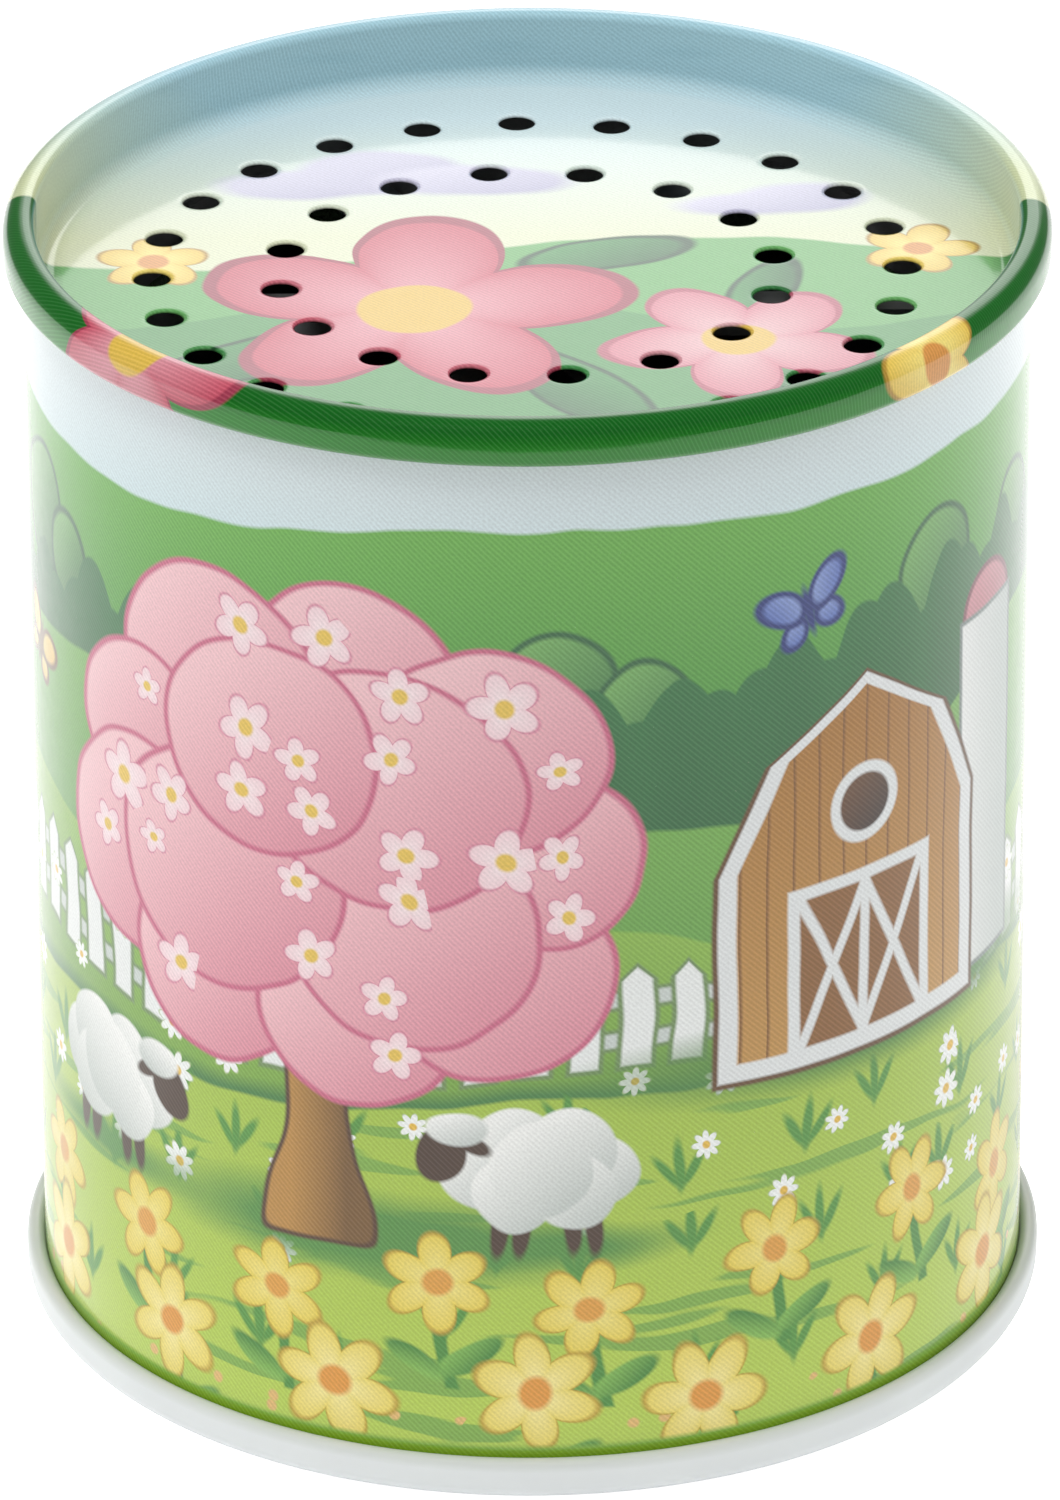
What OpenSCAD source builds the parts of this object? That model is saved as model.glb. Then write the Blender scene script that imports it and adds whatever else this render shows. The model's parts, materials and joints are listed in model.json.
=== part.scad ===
// Tilt-sounding animal voice box: a printed tin can closed by two rolled double seams.
// A plastic voice capsule stands inside it. In the capsule a weighted carrier drops onto a
// pleated bellows and drives its air through a beating reed.
// Millimetres, +Z up, origin at the centre of the foot. The front faces -Y, the lock seam +Y.

/* [Can] */
// Overall height of the can, over both rolled seams
can_h = 68; // [62:1:80]
// Outer diameter of the printed body wall
body_d = 57.4; // [54:0.2:66]
// Thickness of the tinplate sheet
sheet = 0.22; // [0.2:0.01:0.24]
// Play between neighbouring hooks in a rolled seam
seam_gap = 0.21; // [0.19:0.01:0.25]
// Play between the body wall and a cover's wall
wall_gap = 0.1; // [0.08:0.01:0.14]
// Height of a rolled seam
seam_h = 2.6; // [2.4:0.1:3.2]
// Radius of a seam's crest on its inner side, at the middle of the sheet
crest_in_r = 0.38; // [0.3:0.02:0.5]
// Radius of a seam's crest on its outer side, at the middle of the sheet
crest_out_r = 1.05; // [0.8:0.05:1.1]
// Radius between a cover's panel and its wall, at the middle of the sheet
panel_fillet = 1.2; // [0.8:0.1:2]
// Width of the lock seam folded inside the body wall
lock_w = 3.4; // [2.6:0.2:5]
// Width of the fine groove that the lock seam leaves outside
groove_w = 0.4; // [0.2:0.1:0.6]
// Depth of that groove
groove_deep = 0.12; // [0.05:0.01:0.15]

/* [Top cover] */
// Depth from the rim's crest down to the perforated panel
top_recess = 4.1; // [3.4:0.1:6]
// Diameter of one sound hole
hole_d = 2.1; // [1.5:0.1:2.6]
// Number of sound holes in the outer ring
outer_holes = 24; // [12:1:30]
// Diameter of the outer ring of sound holes
outer_ring_d = 43; // [38:0.5:46]
// Turn of the outer ring, anticlockwise from the back
outer_turn = 1.6; // [0:0.1:15]
// Number of sound holes in the inner ring
inner_holes = 16; // [8:1:20]
// Diameter of the inner ring of sound holes
inner_ring_d = 28.6; // [24:0.2:33]
// Turn of the inner ring, anticlockwise from the back
inner_turn = 8.9; // [0:0.1:22.5]

/* [Bottom cover] */
// Depth from the foot's crest up to the bottom panel
bottom_recess = 3; // [2.6:0.1:5]
// Height of the stiffening step in the bottom panel
step_h = 0.5; // [0.3:0.1:1]
// Diameter of the stiffening step, at the middle of its slope
step_d = 44; // [36:0.5:48]
// Radius of each of the step's two bends, at the middle of the sheet
step_r = 0.5; // [0.3:0.05:0.9]

/* [Voice capsule] */
// Thickness of the foam pad under the capsule
foam_t = 2.56; // [1.5:0.02:4]
// Margin of the foam pad inside the stiffening step
foam_margin = 1.5; // [1:0.1:4]
// Gap between the capsule's tube and the can wall
capsule_gap = 1.06; // [0.8:0.02:2]
// Wall of the capsule's tube
tube_wall = 1.4; // [1:0.1:2]
// Play between the tube's locating ribs and the can wall
rib_play = 0.12; // [0.05:0.01:0.3]
// Number of locating ribs
ribs = 6; // [6:6:12]
// Width of one locating rib
rib_w = 1.6; // [1:0.1:3]
// Play of the base and lid where they plug into the tube
plug_play = 0.1; // [0.05:0.01:0.3]
// Thickness of the capsule's base plate
base_t = 1.6; // [1.2:0.1:2.5]
// Depth to which the base and the lid plug into the tube
plug_h = 2; // [1.5:0.1:3]
// Thickness of the lid's grille
lid_t = 1.6; // [1.2:0.1:2.5]
// Height of the lid's rim under the perforated panel
lid_rim_h = 1.66; // [1:0.02:3]
// Number of sound windows in the lid
windows = 6; // [3:1:10]
// Width of a spoke between two windows
spoke_w = 2.6; // [1.6:0.1:4]
// Diameter of the lid's hub
hub_d = 10; // [6:0.5:14]
// Thickness of the felt stop rings
felt_t = 1.5; // [1:0.1:2.5]

/* [Bellows] */
// Number of pleats
pleats = 4; // [3:1:6]
// Height of one closed pleat
pleat_pitch = 2; // [1.6:0.1:2.6]
// Depth of a pleat, from inner to outer fold
pleat_deep = 5.4; // [4:0.1:6.4]
// Gap between the outer folds and the tube
pleat_gap = 1.4; // [0.8:0.1:2.4]
// Thickness of the bellows film
film = 0.3; // [0.15:0.01:0.35]
// Height of each cuff
cuff_h = 2.7; // [2.2:0.1:3.2]
// Wall of a cuff's clamp ring
clamp_wall = 1; // [0.7:0.1:1.4]
// Height of a cuff's clamp ring
clamp_h = 2; // [1.4:0.1:2.2]
// Play of the cuff on its spigot and under its clamp ring
cuff_play = 0.05; // [0.03:0.01:0.1]
// Wall of the spigots that carry the cuffs
spigot_wall = 2; // [1.4:0.1:3]

/* [Weight] */
// Thickness of the carrier's plate
plate_t = 1.8; // [1.4:0.1:2.5]
// Length of the carrier's spigot below its plate
spigot_h = 3.4; // [3:0.1:4.5]
// Height of the carrier's guide ring, from the underside of the plate
guide_h = 12; // [9:0.5:14]
// Wall of the guide ring
guide_wall = 1.2; // [0.9:0.1:1.6]
// Play of the guide ring in the tube
guide_play = 0.4; // [0.3:0.05:0.6]
// Number of air vents through the plate
vents = 12; // [6:1:16]
// Diameter of one air vent
vent_d = 3.2; // [2:0.1:3.6]
// Land left beside the vents
vent_land = 0.5; // [0.3:0.05:0.8]
// Height of the steel weight
weight_h = 9; // [6:0.5:9.6]
// Height of the carrier's sleeve above the plate
sleeve_up = 11.2; // [11:0.1:12]
// Wall of the carrier's sleeve
sleeve_wall = 1.4; // [1:0.1:1.8]
// Play of the weight and its retainer on the sleeve
weight_play = 0.15; // [0.1:0.01:0.3]
// Thickness of the retainer, a star washer
retainer_t = 0.6; // [0.4:0.1:0.8]
// Diameter of the retainer
retainer_d = 24; // [21:0.5:27]
// Number of teeth of the retainer
teeth = 8; // [6:1:10]
// Gap left between the guide ring and the upper felt at full lift
lift_gap = 0.2; // [0.1:0.05:0.5]

/* [Reed] */
// Bore of the reed tube
reed_bore_d = 12; // [11:0.5:14]
// Wall of the reed tube
reed_wall = 1.2; // [0.9:0.1:1.6]
// Length of the reed tube below the plate
reed_tube_down = 9.4; // [8:0.1:11]
// Thickness of the reed tube's collar and of the plug's flange
flange_t = 1; // [0.8:0.1:1.4]
// Depth of the plug in the reed tube
plug_deep = 5; // [4:0.1:6]
// Play of tube, plug, shallot and wedge, each in its bore
reed_play = 0.05; // [0.03:0.01:0.1]
// Bore of the plug
plug_bore_d = 6; // [5.4:0.1:7]
// Length of the shallot below the plug
shallot_free = 15.5; // [12:0.1:16]
// Width of the shallot's air channel
channel_d = 3.4; // [2.6:0.1:3.8]
// Solid tip below the air channel
shallot_tip = 1.5; // [1:0.1:2.5]
// Width of the reed tongue
tongue_w = 4.6; // [4:0.1:5]
// Thickness of the reed tongue
tongue_t = 0.2; // [0.1:0.01:0.25]
// Length of the tongue below the plug
tongue_free = 15; // [11:0.1:15.2]
// Length of the tongue held in the plug
tongue_root = 1.6; // [1:0.1:2]
// Lean of the tongue away from the shallot, in degrees
tongue_lean = 3.5; // [3.2:0.1:5]
// Clearance of the tongue's root from the shallot and from the wedge
tongue_play = 0.12; // [0.1:0.01:0.2]

/* [Hidden] */
$fn = 96;

// How far a cutting tool reaches past the face that it cuts
over = 1;
// Steps in a quarter turn of a bent sheet
bend_steps = 6;

// Rolled seams: a cover's wall, the body wall, and three hooked layers one pitch apart
pitch = sheet + seam_gap;
body_r = body_d / 2;
body_in = body_r - sheet;
body_mid = body_r - sheet / 2;
cover_wall = body_mid - sheet - wall_gap;
cover_skirt = body_mid + 3 * pitch;
body_turn_z = -sheet / 2 - 2 * pitch;
cover_turn_z = -seam_h + sheet / 2 + pitch;

// Room between the two panels
floor_z = bottom_recess + sheet + step_h;
ceiling_z = can_h - top_recess - sheet;
foam_r = step_d / 2 - 2 * step_r - foam_margin;

// Voice capsule
tube_out = body_in - capsule_gap;
tube_in = tube_out - tube_wall;
base_z = floor_z + foam_t;
base_top = base_z + base_t;
lid_z = ceiling_z - lid_rim_h - lid_t;
plug_out = tube_in - plug_play;
plug_in = plug_out - tube_wall;
upper_felt_z = lid_z - plug_h - felt_t;

// Bellows
fold_out = tube_in - pleat_gap - film / 2;
fold_in = fold_out - pleat_deep;
spigot_out = fold_in - film / 2 - cuff_play;
spigot_in = spigot_out - spigot_wall;
clamp_in = fold_in + film / 2 + cuff_play;
clamp_out = clamp_in + clamp_wall;
cuff_z = base_top + film;
pleat_z = cuff_z + cuff_h;
pleat_top = pleat_z + pleats * pleat_pitch;
clamp_gap = (cuff_h - clamp_h) / 2;

// Weight carrier, at rest on the lower felt
carrier_z = pleat_top + film / 2;
lower_felt_z = carrier_z - felt_t;
plate_z = carrier_z + spigot_h;
plate_top = plate_z + plate_t;
guide_out = tube_in - guide_play;
guide_in = guide_out - guide_wall;
guide_top = plate_z + guide_h;
vent_r = vent_d / 2;
vent_ring = guide_in - vent_land - vent_r;
weight_r = vent_ring - vent_r - vent_land;
lift = upper_felt_z - guide_top - lift_gap;

// Reed
reed_in = reed_bore_d / 2;
reed_out = reed_in + reed_wall;
sleeve_in = reed_out + reed_play;
sleeve_out = sleeve_in + sleeve_wall;
sleeve_top = plate_top + sleeve_up;
reed_foot = plate_z - reed_tube_down;
reed_top = sleeve_top + flange_t;
plug_z = reed_top - plug_deep;
plug_r = plug_bore_d / 2;
shallot_z = plug_z - shallot_free;
shallot_top = reed_top + flange_t;
wedge_face = -2 * tongue_play - tongue_t;

// Arc from angle a to angle b about c
function arc(c, r, a, b, steps) =
    [for (i = [0 : steps]) c + r * [cos(a + (b - a) * i / steps), sin(a + (b - a) * i / steps)]];
function reversed(list) = [for (i = [len(list) - 1 : -1 : 0]) list[i]];
function quarter(c, r, a, b) = arc(c, r, a, b, bend_steps);
function half_turn(c, r, a, b) = arc(c, r, a, b, 2 * bend_steps);

// One face of a cover's sheet, from its axis to the end of its hook: the crest is at height 0,
// and side is the distance from the middle of the sheet. The path runs along a flat panel,
// up the wall, over the crest, down the skirt and up behind it into the hook.
function cover_path(panel, recess, side) = concat(
    panel,
    quarter([cover_wall - panel_fillet, -recess - sheet / 2 + panel_fillet], panel_fillet - side, -90, 0),
    quarter([cover_wall + crest_in_r, -sheet / 2 - crest_in_r], crest_in_r + side, 180, 90),
    quarter([cover_skirt - crest_out_r, -sheet / 2 - crest_out_r], crest_out_r + side, 90, 0),
    half_turn([cover_skirt - pitch, cover_turn_z], pitch + side, 0, -180),
    [[cover_skirt - 2 * pitch - side, body_turn_z]]);
function flat_panel(recess, side) = [[0, -recess - sheet / 2 + side]];
// A panel with a step: its centre lies step_h further in than its edge
function step_panel(recess, side) =
    let (a = acos(1 - step_h / 2 / step_r), x = step_r * sin(a), z = -recess - sheet / 2)
    concat([[0, z - step_h + side]],
           arc([step_d / 2 - x, z - step_h + step_r], step_r - side, -90, a - 90, bend_steps),
           arc([step_d / 2 + x, z - step_r], step_r + side, 90 + a, 90, bend_steps));

// One face of the body's sheet, from the foot's hook up the wall to the rim's hook
function body_path(side) = concat(
    [[body_mid + 2 * pitch + side, -cover_turn_z]],
    half_turn([body_mid + pitch, -body_turn_z], pitch + side, 0, -180),
    half_turn([body_mid + pitch, can_h + body_turn_z], pitch + side, 180, 0),
    [[body_mid + 2 * pitch + side, can_h + cover_turn_z]]);

// A ring of rectangular section
module ring(r_in, r_out, z, h) {
    translate([0, 0, z]) difference() {
        cylinder(r = r_out, h = h);
        translate([0, 0, -over]) cylinder(r = r_in, h = h + 2 * over);
    }
}

// Copies on a circle, starting at the back and going anticlockwise
module around(count, r, turn = 0) {
    for (i = [0 : count - 1])
        rotate([0, 0, 90 + turn + 360 * i / count]) translate([r, 0, 0]) children();
}

// The printed wall with its two hooks, and the lock seam folded inside it at the back
module can_body() {
    lock_low = bottom_recess + sheet + panel_fillet;
    lock_high = can_h - top_recess - sheet - panel_fillet;
    color("palegreen") difference() {
        union() {
            rotate_extrude() polygon(concat(body_path(sheet / 2), reversed(body_path(-sheet / 2))));
            intersection() {
                ring(body_in - 2 * sheet, body_mid, lock_low, lock_high - lock_low);
                translate([-lock_w / 2, 0, lock_low]) cube([lock_w, body_r, lock_high - lock_low]);
            }
        }
        translate([lock_w / 2 - groove_w, body_r - groove_deep, seam_h])
            cube([groove_w, over, can_h - 2 * seam_h]);
    }
}

// Recessed perforated panel, rolled over the body's upper edge
module top_cover() {
    color("forestgreen") translate([0, 0, can_h]) difference() {
        rotate_extrude() polygon(concat(
            cover_path(flat_panel(top_recess, sheet / 2), top_recess, sheet / 2),
            reversed(cover_path(flat_panel(top_recess, -sheet / 2), top_recess, -sheet / 2))));
        translate([0, 0, -top_recess - sheet - over]) {
            around(outer_holes, outer_ring_d / 2, outer_turn) cylinder(d = hole_d, h = sheet + 2 * over);
            around(inner_holes, inner_ring_d / 2, inner_turn) cylinder(d = hole_d, h = sheet + 2 * over);
        }
    }
}

// Plain panel with a stiffening step, rolled over the body's lower edge: the can's foot
module bottom_cover() {
    color("gainsboro") mirror([0, 0, 1]) rotate_extrude() polygon(concat(
        cover_path(step_panel(bottom_recess, sheet / 2), bottom_recess, sheet / 2),
        reversed(cover_path(step_panel(bottom_recess, -sheet / 2), bottom_recess, -sheet / 2))));
}

// Soft disc that keeps the capsule from rattling
module foam_pad() {
    color("dimgray") translate([0, 0, floor_z]) cylinder(r = foam_r, h = foam_t);
}

// Floor of the capsule: its spigot carries the bellows and the lower stop
module voice_base() {
    color([0.1, 0.1, 0.1]) {
        translate([0, 0, base_z]) cylinder(r = tube_out, h = base_t);
        ring(plug_in, plug_out, base_top - over, plug_h + over);
        ring(spigot_in, spigot_out, base_top - over, lower_felt_z - base_top + over);
    }
}

// Guide tube of the weight, held off the can wall by ribs
module voice_tube() {
    color([0.12, 0.12, 0.12]) {
        ring(tube_in, tube_out, base_top, lid_z - base_top);
        intersection() {
            ring(tube_out - tube_wall / 2, body_in - rib_play, base_top, lid_z - base_top);
            for (i = [0 : ribs - 1]) rotate([0, 0, 360 * i / ribs])
                translate([0, -rib_w / 2, base_top]) cube([body_r, rib_w, lid_z - base_top]);
        }
    }
}

// Grille of the capsule: its rim bears on the perforated panel
module voice_lid() {
    window_out = plug_in - vent_land;
    color([0.1, 0.1, 0.1]) difference() {
        union() {
            translate([0, 0, lid_z]) cylinder(r = tube_out, h = lid_t);
            ring(plug_in, tube_out, lid_z + lid_t / 2, ceiling_z - lid_z - lid_t / 2);
            ring(plug_in, plug_out, lid_z - plug_h, plug_h + lid_t / 2);
        }
        translate([0, 0, lid_z - over]) linear_extrude(lid_t + 2 * over) difference() {
            circle(r = window_out);
            circle(d = hub_d);
            for (i = [0 : windows - 1]) rotate(360 * i / windows)
                translate([0, -spoke_w / 2]) square([tube_out, spoke_w]);
        }
    }
}

// Felt ring that quiets the weight's upper stop
module upper_felt() {
    color("darkolivegreen") ring(plug_in, plug_out, upper_felt_z, felt_t);
}

// Felt ring that quiets the weight's lower stop
module lower_felt() {
    color("darkolivegreen") ring(spigot_in, spigot_out, lower_felt_z, felt_t);
}

// Ring that holds the lower cuff on the base
module base_clamp() {
    color("ivory") ring(clamp_in, clamp_out, cuff_z + clamp_gap, clamp_h);
}

// Ring that holds the upper cuff on the carrier
module carrier_clamp() {
    color("ivory") ring(clamp_in, clamp_out, pleat_top + clamp_gap, clamp_h);
}

// Pleated film, closed under the weight, with a cuff at each end
module bellows() {
    leaf = atan2(pleat_pitch / 2, pleat_deep);
    miter = film / 2 / sin(leaf);
    function outer_fold(i) = pleat_z + (i + 0.5) * pleat_pitch;
    function inner_fold(i) = pleat_z + i * pleat_pitch;
    outside = [for (i = [0 : pleats - 1], k = [0 : 2])
        k == 0 ? [fold_in + miter, inner_fold(i)] :
        [fold_out + film / 2, outer_fold(i) + (k - 1.5) * film]];
    inside = [for (i = [0 : pleats - 1], k = [0 : 2])
        k == 2 ? [fold_out - miter, outer_fold(i)] :
        [fold_in - film / 2, inner_fold(i) + (k - 0.5) * film]];
    top = [[fold_in + miter, pleat_top], [fold_in + film / 2, pleat_top + film],
           [fold_in - film / 2, pleat_top + film], [fold_in - film / 2, pleat_top - film / 2]];
    color("antiquewhite") rotate_extrude() union() {
        polygon(concat(outside, top, reversed(inside)));
        translate([fold_in - film / 2, cuff_z]) square([film, cuff_h]);
        translate([fold_in - film / 2, pleat_top]) square([film, cuff_h]);
    }
}

// Piston that carries the weight, with a sleeve for the reed tube
module weight_carrier() {
    color("whitesmoke") difference() {
        union() {
            translate([0, 0, plate_z]) cylinder(r = guide_out, h = plate_t);
            ring(guide_in, guide_out, plate_z, guide_h);
            ring(spigot_in, spigot_out, carrier_z, spigot_h + plate_t / 2);
            translate([0, 0, plate_z]) cylinder(r = sleeve_out, h = sleeve_top - plate_z);
        }
        translate([0, 0, plate_z - over]) cylinder(r = sleeve_in, h = sleeve_top - plate_z + 2 * over);
        translate([0, 0, plate_z - over]) around(vents, vent_ring) cylinder(r = vent_r, h = plate_t + 2 * over);
    }
}

// Turned steel ring
module weight_ring() {
    color("slategray") ring(sleeve_out + weight_play, weight_r, plate_top, weight_h);
}

// Star washer that grips the sleeve above the weight
module weight_retainer() {
    grip = sleeve_out + weight_play / 2;
    color("silver") translate([0, 0, plate_top + weight_h]) linear_extrude(retainer_t) difference() {
        circle(d = retainer_d);
        circle(r = grip);
        for (i = [0 : teeth - 1]) rotate(360 * i / teeth)
            translate([0, -retainer_t / 2]) square([(grip + retainer_d / 2) / 2, retainer_t]);
    }
}

// Tube round the reed, open to the bellows below, with a collar on the sleeve
module reed_tube() {
    color("firebrick") {
        ring(reed_in, reed_out, reed_foot, reed_top - reed_foot);
        ring(reed_in, sleeve_out, sleeve_top, flange_t);
    }
}

// Plug that closes the reed tube and holds shallot, tongue and wedge
module reed_plug() {
    color("crimson") difference() {
        union() {
            translate([0, 0, plug_z]) cylinder(r = reed_in - reed_play, h = plug_deep + flange_t);
            translate([0, 0, reed_top]) cylinder(r = sleeve_out, h = flange_t);
        }
        translate([0, 0, plug_z - over]) cylinder(r = plug_r, h = plug_deep + flange_t + 2 * over);
    }
}

// Half-round bar with an air channel in its flat face
module reed_shallot() {
    color("navajowhite") translate([0, 0, shallot_z]) difference() {
        intersection() {
            cylinder(r = plug_r - reed_play, h = shallot_top - shallot_z);
            translate([-plug_r, 0, 0]) cube([2 * plug_r, plug_r, shallot_top - shallot_z]);
        }
        translate([0, 0, shallot_tip]) cylinder(d = channel_d, h = shallot_top - shallot_z);
    }
}

// Half-round bar that clamps the tongue's root in the plug
module reed_wedge() {
    color("navajowhite") translate([0, 0, plug_z]) intersection() {
        cylinder(r = plug_r - reed_play, h = plug_deep);
        translate([-plug_r, wedge_face - plug_r, 0]) cube([2 * plug_r, plug_r, plug_deep]);
    }
}

// Brass blade, bent at the plug so that it leans off the shallot
module reed_tongue() {
    drop = tongue_free * cos(tongue_lean);
    lean = tongue_free * sin(tongue_lean);
    near = -tongue_play;
    far = -tongue_play - tongue_t;
    color("goldenrod") translate([-tongue_w / 2, 0, plug_z]) rotate([90, 0, 90]) linear_extrude(tongue_w)
        polygon([[near, tongue_root], [far, tongue_root], [far, 0],
                 [far - lean, -drop], [near - lean, -drop], [near, 0]]);
}

can_body();
top_cover();
bottom_cover();
foam_pad();
voice_base();
voice_tube();
voice_lid();
upper_felt();
lower_felt();
base_clamp();
bellows();
weight_carrier();
weight_ring();
weight_retainer();
carrier_clamp();
reed_tube();
reed_plug();
reed_shallot();
reed_wedge();
reed_tongue();
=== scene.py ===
import functools
import json
import math
import bmesh
import bpy
from mathutils import Matrix, Vector, noise
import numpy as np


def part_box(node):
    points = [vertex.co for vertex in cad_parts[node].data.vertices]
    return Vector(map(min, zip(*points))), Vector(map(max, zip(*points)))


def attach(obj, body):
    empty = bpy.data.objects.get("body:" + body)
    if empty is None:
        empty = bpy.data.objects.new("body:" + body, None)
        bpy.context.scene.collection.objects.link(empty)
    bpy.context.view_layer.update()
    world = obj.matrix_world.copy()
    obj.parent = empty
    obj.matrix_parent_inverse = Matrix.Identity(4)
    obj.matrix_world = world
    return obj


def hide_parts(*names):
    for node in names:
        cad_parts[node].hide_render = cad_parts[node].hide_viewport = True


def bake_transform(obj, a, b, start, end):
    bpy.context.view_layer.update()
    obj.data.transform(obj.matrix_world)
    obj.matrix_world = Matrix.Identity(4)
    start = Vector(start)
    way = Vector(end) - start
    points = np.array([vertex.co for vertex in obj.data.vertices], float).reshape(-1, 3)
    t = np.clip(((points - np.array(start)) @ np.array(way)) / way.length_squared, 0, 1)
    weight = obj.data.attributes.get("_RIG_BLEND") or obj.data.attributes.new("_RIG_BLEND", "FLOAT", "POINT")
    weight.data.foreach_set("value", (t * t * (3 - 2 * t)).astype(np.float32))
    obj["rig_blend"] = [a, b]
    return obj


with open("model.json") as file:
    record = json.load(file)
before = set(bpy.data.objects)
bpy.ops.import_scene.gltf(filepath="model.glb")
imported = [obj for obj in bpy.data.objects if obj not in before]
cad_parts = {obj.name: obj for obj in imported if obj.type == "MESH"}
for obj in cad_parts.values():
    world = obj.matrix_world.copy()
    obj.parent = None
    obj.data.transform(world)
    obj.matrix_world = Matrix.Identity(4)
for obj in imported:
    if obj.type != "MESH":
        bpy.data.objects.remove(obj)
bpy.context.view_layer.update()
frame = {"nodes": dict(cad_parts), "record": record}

mm = 0.001
scene = bpy.context.scene
scene.view_settings.view_transform = "Standard"


def linear(hexColour):
    parts = [int(hexColour[i:i + 2], 16) / 255 for i in (1, 3, 5)]
    return [p / 12.92 if p <= 0.04045 else ((p + 0.055) / 1.055) ** 2.4 for p in parts] + [1]


def addNode(tree, kind, *values, **settings):
    # adds one node and gives its first live output; a second word of kind is its operation or its data,
    # and values fill the live inputs in turn, or by name from a dictionary
    kind, *mode = kind.split()
    node = tree.nodes.new("ShaderNode" + kind)
    if mode:
        settings["data_type" if kind == "Mix" else "operation"] = mode[0]
    for name, value in settings.items():
        setattr(node, name, value)
    live = [socket for socket in node.inputs if socket.enabled]
    fills = []
    for socket, value in zip(live, values):
        named = isinstance(value, dict)
        fills += [(node.inputs[name], value[name]) for name in value] if named else [(socket, value)]
    for socket, value in fills:
        if isinstance(value, bpy.types.NodeSocket):
            tree.links.new(value, socket)
        else:
            socket.default_value = linear(value) if isinstance(value, str) else value
    return next((output for output in node.outputs if output.enabled), node)


def newMaterial(name):
    # gives the material, its own put, which the functions below add nodes with while it is in hand,
    # and the place on the piece in mm from the can's foot
    material = bpy.data.materials.new(name)
    material.use_nodes = True
    material.node_tree.nodes.clear()
    put = functools.partial(addNode, material.node_tree)
    place = put("TexCoord").node.outputs["Object"]
    return material, put, put("VectorMath SCALE", place, 1 / mm)


def finish(tone, gloss, height, deep, more={}, invert=False):
    # colour, gloss and relief become the surface
    relief = put("Bump", {"Height": height, "Distance": deep * mm}, invert=invert)
    surface = put("BsdfPrincipled", {"Base Color": tone, "Roughness": gloss, "Normal": relief, **more})
    put("OutputMaterial", surface)


def addObject(name, data):
    thing = bpy.data.objects.new(name, data)
    scene.collection.objects.link(thing)
    return thing


def addMesh(bm, name, material):
    mesh = bpy.data.meshes.new(name)
    bm.to_mesh(mesh)
    bm.free()
    mesh.materials.append(material)
    return addObject(name, mesh)


def aimed(place):
    # stands at a place in mm and looks at the can
    away = (Vector(place) - Vector(view["at"])).to_track_quat("Z", "Y").to_matrix().to_4x4()
    return Matrix.Translation(Vector(place) * mm) @ away


# Camera: its place and lens come from the rim, foot, wall edges and sound holes of the photograph
view = {
    "from": (0, -647.2, 354.2),
    "at": (0, 0, 33.35),
    "lens": 297.2,
    "sensor": 36,   # along the upright side
    "roll": -0.285,
    "near": 10,   # nothing nearer than this is seen, in mm
}
cameraData = bpy.data.cameras.new("camera")
cameraData.sensor_fit = "VERTICAL"
cameraData.sensor_height = view["sensor"]
cameraData.lens = view["lens"]
cameraData.clip_start = view["near"] * mm
camera = addObject("camera", cameraData)
camera.matrix_world = aimed(view["from"]) @ Matrix.Rotation(math.radians(view["roll"]), 4, "Z")
scene.camera = camera
print("camera set")

# Studio: a white paper sweep under and behind the can, in a dim room with soft lamps
studio = {
    "floor": (1500, -180, 1500),   # half its width, its front edge and its back edge, in mm
    "paper": "#f4f4f4",
    "rough": 0.9,
    "lift": (0.7, 0.22),   # keeps the paper white to the eye, and nearly so in the gloss
    "glow": 0.14,   # light that comes through the paper round the foot
    "glowReach": (40, 31),  # where that is gone and where it is full, in mm from the foot's middle
    "ambient": 0.55,
    "room": 0.1,   # the dim room round the paper, seen only as a reflection
    "sweepMiddle": 0.1,   # the paper's rise behind the can, as parts of a direction
    "sweepHalf": (0.3, 0.19),   # where it is gone and where it is full, as the next two
    "sweepHigh": (0.75, 0.55),
    "sweepDeep": (0, 0.3),
    "lamps": {   # place and width in mm, and watts
        "key": ((-150, -300, 1050), 600, 6.4),
        "left": ((-750, 200, 260), 700, 1.7),
        "right": ((750, 200, 260), 700, 1.7),
        "back": ((0, 900, 500), 800, 1.1),
        "window": ((110, 900, 480), 420, 0.42),
    },
    "mirrored": "window",   # the one lamp that the gloss shows
}
world = bpy.data.worlds.new("white studio")
scene.world = world
world.use_nodes = True
world.node_tree.nodes.clear()
put = functools.partial(addNode, world.node_tree)
rays = put("LightPath").node.outputs
toward = put("SeparateXYZ", put("TexCoord").node.outputs["Generated"]).node.outputs
aside = put("Math ABSOLUTE", put("Math SUBTRACT", toward["X"], studio["sweepMiddle"]))
backdrop = put("MapRange", toward["Y"], *studio["sweepDeep"])
for reach, fade in ((aside, studio["sweepHalf"]), (toward["Z"], studio["sweepHigh"])):
    backdrop = put("Math MULTIPLY", backdrop, put("MapRange", reach, *fade))
backdrop = put("MapRange", backdrop, 0, 1, studio["room"], 1)
inGloss = put("Math MAXIMUM", rays["Is Glossy Ray"], rays["Is Transmission Ray"])
glow = put("Mix", inGloss, studio["ambient"], backdrop)
glow = put("Math MAXIMUM", glow, rays["Is Camera Ray"])
put("OutputWorld", put("Background", "#ffffff", glow))

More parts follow.
